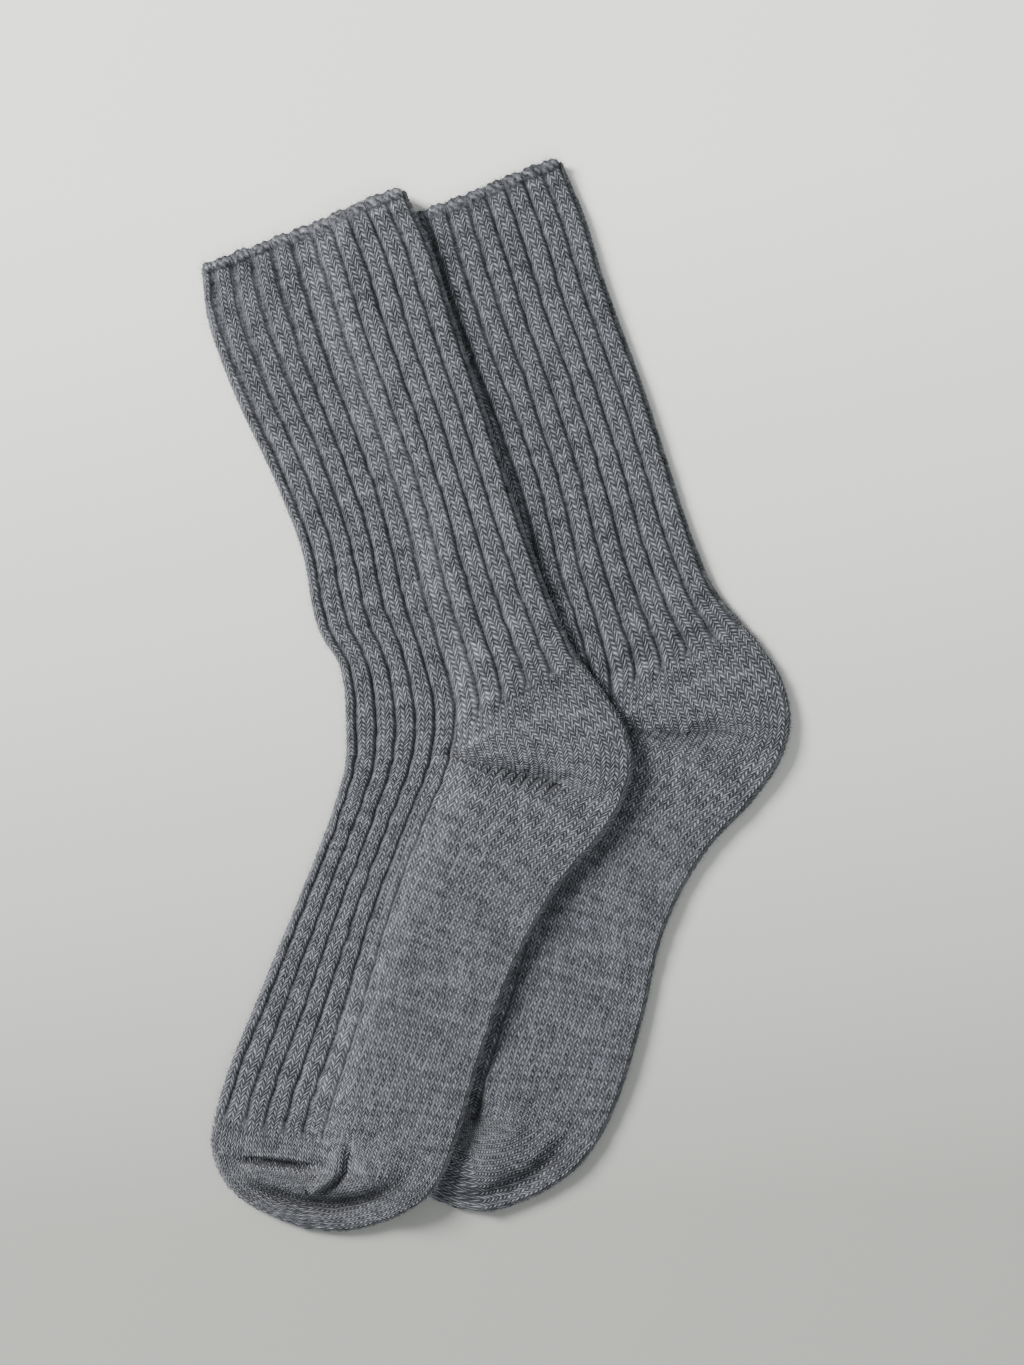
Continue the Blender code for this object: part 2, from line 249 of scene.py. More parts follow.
def distance_to_line(points, line):
    """Plan distance from each point to the nearest place on an open line."""
    start_x, start_y = line[:-1].T
    run_x, run_y = (line[1:] - line[:-1]).T
    squares = np.maximum(run_x ** 2 + run_y ** 2, 1e-9)
    nearest = np.empty(len(points))
    for first in range(0, len(points), BLOCK):
        block = points[first:first + BLOCK]
        off_x = block[:, :1] - start_x
        off_y = block[:, 1:] - start_y
        along = np.clip((off_x * run_x + off_y * run_y) / squares, 0.0, 1.0)
        off_x -= along * run_x
        off_y -= along * run_y
        nearest[first:first + BLOCK] = np.sqrt((off_x ** 2 + off_y ** 2).min(1))
    return nearest


def ease(value):
    """Soft step from 0 to 1."""
    value = np.clip(value, 0.0, 1.0)
    return value ** 2 * (3.0 - 2.0 * value)


def unevenness(points, length, seed):
    """Soft random swell of about -1 to 1 over the plan, with waves of about the given length."""
    draw = np.random.default_rng(seed)
    headings = draw.uniform(0.0, 2.0 * np.pi, WAVES)
    phases = draw.uniform(0.0, 2.0 * np.pi, WAVES)
    lengths = length * draw.uniform(0.7, 1.5, WAVES)
    total = np.zeros(points.shape[:-1])
    for heading, phase, wave in zip(headings, phases, lengths):
        along = points[..., 0] * np.cos(heading) + points[..., 1] * np.sin(heading)
        total += np.sin(2.0 * np.pi * along / wave + phase)
    return total / np.sqrt(WAVES)


def round_over(distance, radius):
    """Rise of a fold's rounded side: 0 on the edge, 1 from the radius inwards."""
    inward = np.clip(distance / radius, 0.0, 1.0)
    return np.sqrt(1.0 - (1.0 - inward) ** 2)


def fold_rises(folds, points):
    """Rise of each fold at the given points, below 0 in a valley."""
    made = []
    for fold in folds:
        line = along_fold(fold, np.linspace(0.0, 1.0, FOLD_STEPS))
        rise = fold.rise * np.exp(-(distance_to_line(points, line) / fold.half_width) ** 2)
        if fold.die_out:
            for end in (line[0], line[-1]):
                rise *= ease(np.linalg.norm(points - end, axis=1) / fold.die_out)
        made.append(rise)
    return np.array(made)


class Sock:
    """One sock as it lies: its three lines, its folds, its short rows and what is under it."""

    def __init__(self, shift, toe_shift, back_names, folds, under_folds, gore, turn, seed, under=None):
        self.shift = np.array(shift)
        self.toe_shift = np.array(toe_shift)
        self.back_names = back_names
        self.folds = folds
        self.under_folds = under_folds
        self.gore = gore
        self.turn = turn
        self.seed = seed
        self.under = under
        courses = np.linspace(0.0, TOE_END, EDGE_POINTS)
        rows = np.linspace(0.0, TOE_END + HEEL_ROWS, EDGE_POINTS)
        self.edge = np.concatenate((self.front(courses), self.back(rows[::-1])))

    def moved(self, courses, names):
        """A line of the front half, moved to where this sock lies."""
        toe = ease((courses - TOE_SHIFT_START) / (TOE_END - TOE_SHIFT_START))[..., None]
        shift = self.shift * (1.0 - toe) + self.toe_shift * toe
        return table_line(FRONT_ROWS, "course", names, courses) + shift

    def front(self, courses):
        return self.moved(courses, ("front_x", "front_y"))

    def middle(self, courses):
        return self.moved(courses, ("middle_x", "middle_y"))

    def back(self, rows):
        return table_line(BACK_ROWS, "row", self.back_names, rows)

    def rises(self, points):
        """Rise of each fold of the upper face."""
        return fold_rises(self.folds, points)

    def loft(self, points):
        """Height of the flat sock over its own underside, with its folds, without its stitches."""
        height = LOFT + LOFT_SWELL * unevenness(points, SWELL_LENGTH, self.seed)
        over = height + self.rises(points).sum(0) - LEAST_LOFT
        return LEAST_LOFT + 0.5 * (over + np.sqrt(over ** 2 + LOFT_EASE ** 2))

    def painted_fold_shade(self, points):
        """Share of the full shade painted into the colour in the valleys of the folds, where shade
        falls.
        """
        return np.clip(-self.rises(points).min(0) / VALLEY_OF_FULL_SHADE, 0.0, 1.0)

    def base(self, points):
        """Height of the underside over the surface."""
        if self.under is None:
            return np.zeros(len(points))
        return self.under(points)


def across(front, middle, back, ribs):
    """Places on the straight rows from front fold over middle wale to back fold."""
    ribs = ribs[..., None]
    before = front + (middle - front) * ribs / MIDDLE_RIB
    after = middle + (back - middle) * (ribs - MIDDLE_RIB) / (RIBS - MIDDLE_RIB)
    return np.where(ribs < MIDDLE_RIB, before, after)


def lay_leg(sock, rows, ribs):
    """Places of the leg's stitches."""
    return across(sock.front(rows), sock.middle(rows), sock.back(rows), ribs)


def lay_pocket(edge, gore, gore_share, depth, share):
    """Places of short rows, which start on the gore and end on the outer fold."""
    left_out = gore_share * depth
    on_gore = along_fold(gore, np.minimum(share, left_out) / gore_share)
    beyond = np.clip((share - left_out) / (1.0 - left_out), 0.0, 1.0)[..., None]
    return on_gore + (edge - along_fold(gore, depth)) * beyond


def lay_heel(sock, rows, ribs):
    """Places of the heel's stitches."""
    turned = np.clip(rows - HEEL_START, 0.0, HEEL_ROWS)
    depth = np.minimum(turned / sock.turn, (HEEL_ROWS - turned) / (HEEL_ROWS - sock.turn))
    share = (ribs - MIDDLE_RIB) / (RIBS - MIDDLE_RIB)
    return lay_pocket(sock.back(HEEL_START + turned), sock.gore, GORE_SHARE, depth, share)


def past_gore(sock, rows, ribs):
    """Rows from the gore down to each place of the heel's lower rows, and a lot above them."""
    turned = rows - HEEL_START
    share = (ribs - MIDDLE_RIB) / (RIBS - MIDDLE_RIB)
    first = HEEL_ROWS - (HEEL_ROWS - sock.turn) * share / GORE_SHARE
    below = (turned >= sock.turn) & (share < GORE_SHARE)
    return np.where(below, np.maximum(turned - first, 0.0), HEEL_ROWS)


def seam_bend(share):
    """How far the toe seam sags, by share of the way from the middle wale to the front fold."""
    return -SEAM_SAG * np.exp(-((share - SEAM_SAG_AT) / SEAM_SAG_WIDTH) ** 2)


def lay_foot(sock, courses, ribs):
    """Places of the foot's stitches."""
    plan = across(sock.front(courses), sock.middle(courses), sock.back(courses + HEEL_ROWS), ribs)
    near_seam = ease((courses - sock.toe_start) / SEAM_REACH + 1.0)
    plan[..., 1] += seam_bend(1.0 - ribs / MIDDLE_RIB) * near_seam
    return plan


def ribbed_leg(rows, wales):
    """Share of ribbing in the leg: it stops above the heel."""
    back = 1.0 - ease((rows - HEEL_RIB_END) / RIB_FADE)
    return np.where(wales < MIDDLE_WALE, 1.0, np.where(wales > MIDDLE_WALE, back, 0.5 + 0.5 * back))


def ribbed_foot(courses, wales):
    """Share of ribbing in the foot: over the instep as far as the toe, and none on the sole."""
    front = 1.0 - ease((courses - TOE_RIB_END) / RIB_FADE)
    return np.where(wales < MIDDLE_WALE, front, np.where(wales > MIDDLE_WALE, 0.0, 0.5 * front))


def plain(rows, wales):
    """No ribbing."""
    return np.zeros(wales.shape)


def from_groove(wales):
    """Wales from each place to the nearest line between two purl wales, 0 to 2."""
    place = wales % 4.0
    return np.minimum(place, 4.0 - place)


def rib_places(wales, purl):
    """Places across in ribs: purl wales drawn in to their share of a rib, knit wales spread."""
    whole = np.floor(wales / 4.0)
    place = wales - 4.0 * whole
    knit = purl + (place - 1.0) * (0.5 - purl)
    last = 1.0 - (4.0 - place) * purl
    ribs = np.where(place < 1.0, place * purl, np.where(place < 3.0, knit, last))
    ribs = FIRST_GROOVE + whole + ribs
    ribs = np.where(wales <= FRONT_WALE, 0.0, ribs)
    return np.where(wales >= BACK_WALE, RIBS, ribs)


def lean_of(wales):
    """Rows by which the legs of a knit stitch run down from its top to its sides."""
    place = wales % 1.0
    lean = np.maximum(LEFT_LEAN * (0.5 - place), RIGHT_LEAN * (place - 0.5)) - HALF_LEAN
    return np.where(place == 0.0, HALF_LEAN, lean)


Knit = namedtuple("Knit", "plan wales rows ribs purl ribbed fold_mask cuff gored")


def knit_face(sock, lay, ribbed_share, lines, wales):
    """Where the stitches of one face lie in plan, with grid lines that follow the yarn's legs."""
    wales, lines = np.meshgrid(wales, lines)
    ribbed = ribbed_share(lines, wales)
    in_purl = from_groove(wales) < 1.0
    plain_lean = lean_of(wales)
    ribbed_lean = np.where(in_purl, HALF_LEAN * from_groove(wales), plain_lean)
    cord = CORD_ROWS * (lay is lay_leg)
    ends = ease((lines - lines[0, 0] - cord) / LEAN_ROWS) * ease((lines[-1, 0] - lines) / LEAN_ROWS)
    rows = lines + ends * (ribbed * ribbed_lean + (1.0 - ribbed) * plain_lean)
    in_rib = PURL_IN_LEG
    if lay is lay_leg:
        bound = 1.0 - ease(lines / LEAN_ROWS)
        scallop = RIM_SCALLOP * (0.5 - 0.5 * np.cos(2.0 * np.pi * wales))
        flare = RIB_FLARE * (0.5 - 0.5 * np.cos(0.5 * np.pi * wales))
        corner = CORNER_ROWS * np.exp((wales - BACK_WALE) / CORNER_WALES)
        rows = rows - bound * (scallop + flare) + corner * (1.0 - ease(lines / CORNER_REACH))
        at_cuff = np.interp(wales, CUFF_PURL_WALES, CUFF_PURLS)
        in_rib = PURL_IN_LEG + (at_cuff - PURL_IN_LEG) * (1.0 - ease(rows / CUFF_PURL_END))
    purl = ribbed * in_rib + (1.0 - ribbed) * PURL_IN_PLAIN
    ribs = rib_places(wales, purl)
    plan = lay(sock, rows, ribs)
    fold_mask = (wales <= FRONT_WALE) | (wales >= BACK_WALE)
    gored = past_gore(sock, rows, ribs) if lay is lay_heel else None
    return Knit(plan, wales, rows, ribs, purl, ribbed, fold_mask, lay is lay_leg, gored)


def spacing(plan, axis, counts):
    """Millimetres for one wale or row at each place, along one way of the grid."""
    steps = np.gradient(plan, axis=axis)
    width = np.linalg.norm(steps, axis=2)
    return width / np.maximum(np.abs(np.gradient(counts, axis=axis)), 1e-6)


def groove_of(knit):
    """Share of the full groove at each place, 1 on the line between two purl wales."""
    distance = np.abs((knit.ribs - FIRST_GROOVE + 0.5) % 1.0 - 0.5)
    floor = np.maximum(knit.purl - PURL_IN_LEG, 0.0)
    return knit.ribbed * (1.0 - ease((distance - floor) / GROOVE_SHOULDER))


def stitch_of(knit):
    """Height of the yarn at each place, 0 in the hollows and 1 on top of a leg."""
    wave = 0.5 - 0.5 * np.cos(2.0 * np.pi * (knit.rows - lean_of(knit.wales)))
    side = np.interp(knit.wales % 1.0, LEG_PLACES, LEG_HEIGHTS)
    leg = side * wave ** LEG_ROUNDING
    purl = PURL_YARN + PURL_BAR * (0.5 + 0.5 * np.cos(2.0 * np.pi * knit.rows))
    in_purl = knit.ribbed * (from_groove(knit.wales) < 1.0)
    return in_purl * purl + (1.0 - in_purl) * leg


def rim_drop(rows):
    """How far the skin turns in over the bound edge of the cuff."""
    return 0.5 * WALL * (1.0 - round_over(rows, RIM_ROWS))


def bind_off(knit, relief):
    """The relief with the bound edge of the cuff: a twisted cord, one bump for each wale."""
    along = np.clip((knit.rows - CORD_START) / (CORD_ROWS - CORD_START), 0.0, 1.0)
    arch = np.sin(np.pi * along)
    bump = 0.5 + 0.5 * np.cos(2.0 * np.pi * (knit.wales - CORD_TWIST * knit.rows))
    cord = CORD_RISE * arch * (CORD_BODY + (1.0 - CORD_BODY) * bump)
    cord = cord - PIT_DEPTH * (1.0 - bump) * (1.0 - arch)
    share = ease((knit.rows - CORD_ROWS) / RIM_ROWS)
    return share * relief + (1.0 - share) * (cord + 0.5 * np.minimum(relief, 0.0))


def upper_face(sock, knit):
    """Places and relief of the upper face, and the shade painted into its colour in the grooves, the
    fold valleys and the gore's slots.
    """
    shape = knit.wales.shape
    points = knit.plan.reshape(-1, 2)
    distance = np.where(knit.fold_mask.ravel(), 0.0, distance_to_line(points, sock.edge))
    side = round_over(distance, FOLD_RADIUS)
    height = sock.base(points) + sock.loft(points) * (0.5 + 0.5 * side)
    wander = [unevenness(points, WANDER_LENGTH, seed) for seed in WANDER_SEEDS]
    points = points + WANDER * np.stack(wander, axis=1) * side[:, None]
    place = np.column_stack((points, height)).reshape(shape + (3,))
    wide_enough = spacing(place, 1, knit.wales) / FULL_WALE
    size = np.minimum(wide_enough, spacing(place, 0, knit.rows) / FULL_COURSE)
    groove_and_shade = groove_of(knit)
    relief = CREST_RISE * np.clip(size, 0.0, 1.0) * (stitch_of(knit) - SKIN_LEVEL)
    wide = np.clip((knit.purl - PURL_IN_LEG) / PURL_IN_LEG, 0.0, 1.0)
    depth = GROOVE_DEPTH + (WIDE_GROOVE_DEPTH - GROOVE_DEPTH) * wide
    rib_side = 1.0 - 2.0 * np.abs((knit.ribs - FIRST_GROOVE + 0.5) % 1.0 - 0.5)
    depth = depth * (1.0 + DEPTH_SWELL * unevenness(knit.plan, DEPTH_LENGTH, DEPTH_SEED))
    depth = depth * (1.0 - INSTEP_EASE * ease((knit.rows - HEEL_START) / INSTEP_REACH))
    relief = relief - depth * groove_and_shade - knit.ribbed * RIB_CROWN * rib_side ** 2
    relief = relief - PLAIN_DROP * (1.0 - knit.ribbed)
    if knit.cuff:
        relief = bind_off(knit, relief)
    # Painted shade: the colour is darkened in the rib grooves, less in wide ones and near the cuff, and
    # in the fold valleys.
    painted_shade = groove_and_shade * (1.0 - WIDE_GROOVE_SHADE * wide) * ease(knit.rows / CORD_ROWS - 0.5)
    painted_shade = painted_shade + sock.painted_fold_shade(knit.plan.reshape(-1, 2)).reshape(shape)
    if knit.gored is not None:
        slot = knit.gored / HOOK_ROWS * np.exp(1.0 - knit.gored / HOOK_ROWS)
        slot = slot * np.clip(size, 0.0, 1.0) * (0.5 + 0.5 * np.cos(2.0 * np.pi * knit.wales))
        relief = relief - HOOK_DEPTH * slot
        # Painted shade in the gore's slots, where the hooks are pressed in.
        painted_shade = painted_shade + slot
    return place, relief - rim_drop(knit.rows) * (knit.rows < RIM_ROWS), painted_shade


def underside(sock, knit):
    """Places and relief of the underside, whose ribs stand on the surface, and the shade painted into
    its colour in its grooves.
    """
    shape = knit.wales.shape
    points = knit.plan.reshape(-1, 2)
    distance = np.where(knit.fold_mask.ravel(), 0.0, distance_to_line(points, sock.edge))
    side = round_over(distance, FOLD_RADIUS)
    height = sock.base(points) + 0.5 * sock.loft(points) * (1.0 - side)
    height += side * fold_rises(sock.under_folds, points).sum(0)
    place = np.column_stack((points, height)).reshape(shape + (3,))
    groove_and_shade = groove_of(knit)
    relief = -UNDER_GROOVE_SHARE * WIDE_GROOVE_DEPTH * groove_and_shade
    return place, relief - rim_drop(knit.rows) * (knit.rows < RIM_ROWS), groove_and_shade


def add_face(bm, knit, made, wale_sign):
    """One face of knitting as a grid of mesh, with what its material needs to know."""
    place, relief, groove_and_shade = made
    height, width = knit.wales.shape
    layers = bm.verts.layers.float
    # One layer carries the share of shade painted into the colour in grooves, fold valleys and slots.
    names = ("wale", "row", "relief", "groove_and_shade", "purl")
    keep = [layers.get(name) or layers.new(name) for name in names]
    uv = bm.loops.layers.uv.get("knit") or bm.loops.layers.uv.new("knit")
    purl = knit.ribbed * np.clip(1.5 - from_groove(knit.wales), 0.0, 1.0)
    values = (wale_sign * knit.wales, knit.rows, relief, groove_and_shade, purl)
    first_face = len(bm.faces)
    grid = bmesh.ops.create_grid(bm, x_segments=width - 1, y_segments=height - 1, size=1.0)["verts"]
    rows = np.stack([value.ravel() for value in values], axis=1).tolist()
    for vertex, position, row in zip(grid, (place.reshape(-1, 3) * MM).tolist(), rows):
        vertex.co = position
        for layer, value in zip(keep, row):
            vertex[layer] = value
    bm.faces.ensure_lookup_table()
    wale, row = keep[:2]
    for face in bm.faces[first_face:]:
        for loop in face.loops:
            loop[uv].uv = (loop.vert[wale], loop.vert[row])


def raise_stitches(bm):
    """Move each place of the skin out along its normal by its relief."""
    bmesh.ops.remove_doubles(bm, verts=bm.verts, dist=MERGE)
    bmesh.ops.dissolve_degenerate(bm, edges=bm.edges, dist=MERGE)
    bmesh.ops.holes_fill(bm, edges=[edge for edge in bm.edges if edge.is_boundary], sides=3)
    bmesh.ops.recalc_face_normals(bm, faces=bm.faces)
    if sum(face.normal.z for face in bm.faces if face.calc_center_median().z > LOFT * MM) < 0.0:
        bmesh.ops.reverse_faces(bm, faces=bm.faces)
    bm.normal_update()
    relief = bm.verts.layers.float["relief"]
    for vertex in bm.verts:
        vertex.co += vertex.normal * vertex[relief] * MM


def inner_plan(sock, row, ribs):
    """Plan points of one row of the inner face, its ends one wall inside the folds."""
    nearby = np.array((-0.5, 0.0, 0.5))
    course = row if row < HEEL_START else max(row - HEEL_ROWS, HEEL_START)
    front = sock.front(course + nearby)
    back = sock.back(row + nearby + CORNER_ROWS * (1.0 - ease(row / CORNER_REACH)))
    to_back = front[2] - front[0]
    to_front = back[2] - back[0]
    inset_front = WALL * np.array((-to_back[1], to_back[0])) / np.linalg.norm(to_back)
    inset_back = WALL * np.array((to_front[1], -to_front[0])) / np.linalg.norm(to_front)
    return across(front[1] + inset_front, sock.middle(np.array(course)), back[1] + inset_back, ribs)


INNER_REACHES = (2.5, 5.0)
INNER_WALE = 2.4
INNER_COURSE = 1.9


def lowest_loft(sock, plan):
    """Least height of the upper face around each place, so that the inner face stays under it."""
    lowest = sock.loft(plan)
    for turn in np.linspace(0.0, 2.0 * np.pi, 8, endpoint=False):
        for reach in INNER_REACHES:
            beside = plan + reach * np.array((np.cos(turn), np.sin(turn)))
            lowest = np.minimum(lowest, sock.loft(beside))
    return lowest


INNER_EDGE = np.array((0.0, 0.05, 0.3))
INNER_RIBS = np.concatenate((INNER_EDGE, np.linspace(1.1, 9.9, 9), RIBS - INNER_EDGE[::-1]))


def add_inner_face(bm, sock, stations, closed_end):
    """The plain inner face as one tube, from the first station to the last."""
    plans = [inner_plan(sock, row, INNER_RIBS) for row in stations]
    reach = np.linspace(0.0, TOE_END + HEEL_ROWS - 6.0, EDGE_POINTS)
    ends = np.array([inner_plan(sock, row, np.array((0.0, RIBS))) for row in reach])
    edge = np.concatenate((ends[:, 0], ends[::-1, 1]))
    rings = []
    for row, plan in zip(stations, plans):
        solid = lowest_loft(sock, plan) - GROOVE_DEPTH
        hollow = np.maximum(solid - 2.0 * WALL, LEAST_HOLLOW)
        side = round_over(distance_to_line(plan, edge), FOLD_RADIUS - WALL)
        side[0] = side[-1] = 0.0
        if closed_end and row == stations[-1]:
            side = np.zeros(len(plan))
        middle = sock.base(plan) + 0.5 * solid
        top = np.column_stack((plan, middle + 0.5 * hollow * side))
        bottom = np.column_stack((plan, middle - 0.5 * hollow * side))
        rings.append(np.concatenate((top, bottom[-2::-1])))
    width = len(rings[0])
    grid = bmesh.ops.create_grid(bm, x_segments=width - 1, y_segments=len(rings) - 1, size=1.0)
    uv = bm.loops.layers.uv["knit"]
    for vertex, position in zip(grid["verts"], np.concatenate(rings).tolist()):
        vertex.co = [value * MM for value in position]
    for face in {face for vertex in grid["verts"] for face in vertex.link_faces}:
        for loop in face.loops:
            loop[uv].uv = (loop.vert.co.x / (INNER_WALE * MM), loop.vert.co.y / (INNER_COURSE * MM))
    bmesh.ops.remove_doubles(bm, verts=[v for v in grid["verts"] if v.is_valid], dist=MERGE)


def loops_of(bm):
    """The open edges of a mesh, sorted into the loops that they form."""
    left = {edge for edge in bm.edges if edge.is_boundary}
    loops = []
    while left:
        found = {left.pop()}
        front = list(found)
        while front:
            for vertex in front.pop().verts:
                for edge in vertex.link_edges:
                    if edge in left:
                        left.discard(edge)
                        found.add(edge)
                        front.append(edge)
        loops.append(found)
    return loops


def centre_of(loop):
    """Middle of the places of a loop's edges."""
    places = np.array([vertex.co[:] for edge in loop for vertex in edge.verts])
    return places.mean(0)


def close_wall(bm, outer_loops, inner_loops):
    """Join each open edge of the outer face to the inner face's edge that lies nearest."""
    for outer in outer_loops:
        middle = centre_of(outer)
        inner = min(inner_loops, key=lambda loop: np.linalg.norm(centre_of(loop) - middle))
        bmesh.ops.bridge_loops(bm, edges=list(outer | inner))


def finish_piece(bm, name, material):
    """Turn the closed wall into a finished piece of the scene."""
    bmesh.ops.triangulate(bm, faces=[face for face in bm.faces if len(face.verts) > 4])
    bmesh.ops.recalc_face_normals(bm, faces=bm.faces)
    bmesh.ops.translate(bm, verts=bm.verts, vec=[-value * MM for value in PAIR_CENTRE])
    mesh = bpy.data.meshes.new(name)
    bm.to_mesh(mesh)
    bm.free()
    mesh.shade_smooth()
    mesh.materials.append(material)
    piece = bpy.data.objects.new(name, mesh)
    bpy.context.scene.collection.objects.link(piece)
    return piece


def node(tree, kind, inputs=(), **settings):
    """Add one material node, with its inputs set or linked by name or place."""
    made = tree.nodes.new(kind)
    for key, value in settings.items():
        setattr(made, key, value)
    for key, value in dict(inputs).items():
        if isinstance(value, bpy.types.NodeSocket):
            tree.links.new(value, made.inputs[key])
        else:
            made.inputs[key].default_value = value
    return made


def math(tree, operation, first, second=0.0, third=0.0):
    """One step of arithmetic between material values."""
    return node(tree, "ShaderNodeMath", {0: first, 1: second, 2: third}, operation=operation).outputs[0]


# Sizes and contrasts of the yarn's colour: fibres, spun lengths, streaks along the courses, and the
# shade painted into the hollows between the legs, the pits of the bound cord and the grooves
LUMP_SCALE = 420.0
LUMP_STRAY = 1.2
LUMP_CONTRAST = 2.0
LUMP_SHADE = 0.1
CORD_PIT_SHADE_CONTRAST = 0.3
CORD_SHADE = 0.32
CORD_BLEND = 0.3
FIBRE_SCALE = 1500.0
STREAK_WALES = 0.14
STREAK_ROWS = 0.8
LEG_SIDE_ROUNDING = 0.75
HOLLOW_SHADE_CONTRAST = 0.7
YARN_SHADE = 0.12
SPUN_CONTRAST = 0.3
FIBRE_CONTRAST = 0.9
STREAK_CONTRAST = 0.4
GROOVE_SHADE = 0.33
FIBRE_BUMP = 0.45
BUMP_HEIGHT = 0.35 * MM


def melange_yarn(name, dark, middle, light):
    """Matt melange yarn, each leg of a stitch spun a little lighter or darker than the next, with shade
    painted into its colour in the hollows between the legs, in the pits of the bound cord, and in the
    grooves, fold valleys and slots.
    """
    material = bpy.data.materials.new(name)
    material.use_nodes = True
    tree = material.node_tree
    shader = tree.nodes["Principled BSDF"]
    knit_uv = node(tree, "ShaderNodeUVMap", uv_map="knit").outputs[0]
    count = node(tree, "ShaderNodeSeparateXYZ", {0: knit_uv})
    wale = count.outputs[0]
    row = count.outputs[1]
    part = math(tree, "FRACT", wale)
    left = math(tree, "MULTIPLY_ADD", part, -LEFT_LEAN, 0.5 * LEFT_LEAN)
    right = math(tree, "MULTIPLY_ADD", part, RIGHT_LEAN, -0.5 * RIGHT_LEAN)
    lean = math(tree, "SUBTRACT", math(tree, "MAXIMUM", left, right), HALF_LEAN)
    stitch_row = math(tree, "SUBTRACT", row, lean)
    leg_wave = math(tree, "COSINE", math(tree, "MULTIPLY", stitch_row, 2.0 * np.pi))
    leg = math(tree, "POWER", math(tree, "MULTIPLY_ADD", leg_wave, -0.5, 0.5), LEG_ROUNDING)
    side_wave = math(tree, "SINE", math(tree, "MULTIPLY", part, 2.0 * np.pi))
    side = math(tree, "POWER", math(tree, "ABSOLUTE", side_wave), LEG_SIDE_ROUNDING)
    knit = math(tree, "MULTIPLY", leg, side)
    bar_wave = math(tree, "COSINE", math(tree, "MULTIPLY", row, 2.0 * np.pi))
    bar = math(tree, "MULTIPLY_ADD", bar_wave, 0.5 * PURL_BAR, 0.5 * PURL_BAR + PURL_YARN)
    purl = node(tree, "ShaderNodeAttribute", attribute_name="purl").outputs["Fac"]
    groove_and_shade = node(tree, "ShaderNodeAttribute", attribute_name="groove_and_shade").outputs["Fac"]
    yarn = math(tree, "ADD", math(tree, "MULTIPLY", purl, bar),
                math(tree, "MULTIPLY", math(tree, "SUBTRACT", 1.0, purl), knit))
    place = node(tree, "ShaderNodeTexCoord").outputs["Object"]
    lumps = node(tree, "ShaderNodeTexNoise", {
        "Vector": place, "Scale": LUMP_SCALE, "Detail": 1.0}).outputs[0]
    twist = math(tree, "MULTIPLY_ADD", row, -CORD_TWIST, wale)
    twist = math(tree, "MULTIPLY_ADD", lumps, LUMP_STRAY, twist)
    bump_wave = math(tree, "COSINE", math(tree, "MULTIPLY", twist, 2.0 * np.pi))
    turn = np.pi / (CORD_ROWS - CORD_START)
    arch = math(tree, "SINE", math(tree, "MULTIPLY_ADD", row, turn, -CORD_START * turn))
    # Painted shade on the bound cord: lighter on each bump, darker in the pits between bumps and towards
    # the cord's edges; the lumps vary it at random.
    cord_bump_shade = math(tree, "MULTIPLY_ADD", bump_wave, CORD_PIT_SHADE_CONTRAST, CORD_SHADE)
    lumpy = math(tree, "MULTIPLY_ADD", lumps, LUMP_CONTRAST, LUMP_SHADE)
    cord = math(tree, "MULTIPLY", math(tree, "MULTIPLY", cord_bump_shade, arch), lumpy)
    on_cord = node(tree, "ShaderNodeMapRange", {
        "Value": row, "From Min": CORD_ROWS - CORD_BLEND, "From Max": CORD_ROWS + CORD_BLEND,
        "To Min": 1.0, "To Max": 0.0}).outputs[0]
    yarn = math(tree, "MULTIPLY_ADD", on_cord, math(tree, "SUBTRACT", cord, yarn), yarn)
    cell = node(tree, "ShaderNodeCombineXYZ", {
        0: math(tree, "FLOOR", math(tree, "MULTIPLY", wale, 2.0)),
        1: math(tree, "FLOOR", stitch_row)})
    spun = node(tree, "ShaderNodeTexWhiteNoise", {"Vector": cell.outputs[0]},
                noise_dimensions="2D").outputs[0]
    fibre = node(tree, "ShaderNodeTexNoise", {
        "Vector": place, "Scale": FIBRE_SCALE, "Detail": 3.0, "Roughness": 0.7}).outputs[0]
    course = node(tree, "ShaderNodeCombineXYZ", {
        0: math(tree, "MULTIPLY", wale, STREAK_WALES),
        1: math(tree, "MULTIPLY", row, STREAK_ROWS)}).outputs[0]
    streak = node(tree, "ShaderNodeTexNoise", {
        "Vector": course, "Scale": 1.0, "Detail": 2.0, "Roughness": 0.6},
                  noise_dimensions="2D").outputs[0]
    # Painted shade: the colour is lighter on the crests of the yarn and darker in the hollows between
    # the legs of the stitches and between the purl bars.
    shade = math(tree, "MULTIPLY_ADD", yarn, HOLLOW_SHADE_CONTRAST, YARN_SHADE)
    for variation, amount in ((spun, SPUN_CONTRAST), (fibre, FIBRE_CONTRAST), (streak, STREAK_CONTRAST)):
        swing = math(tree, "MULTIPLY_ADD", variation, amount, -0.5 * amount)
        shade = math(tree, "ADD", shade, swing)
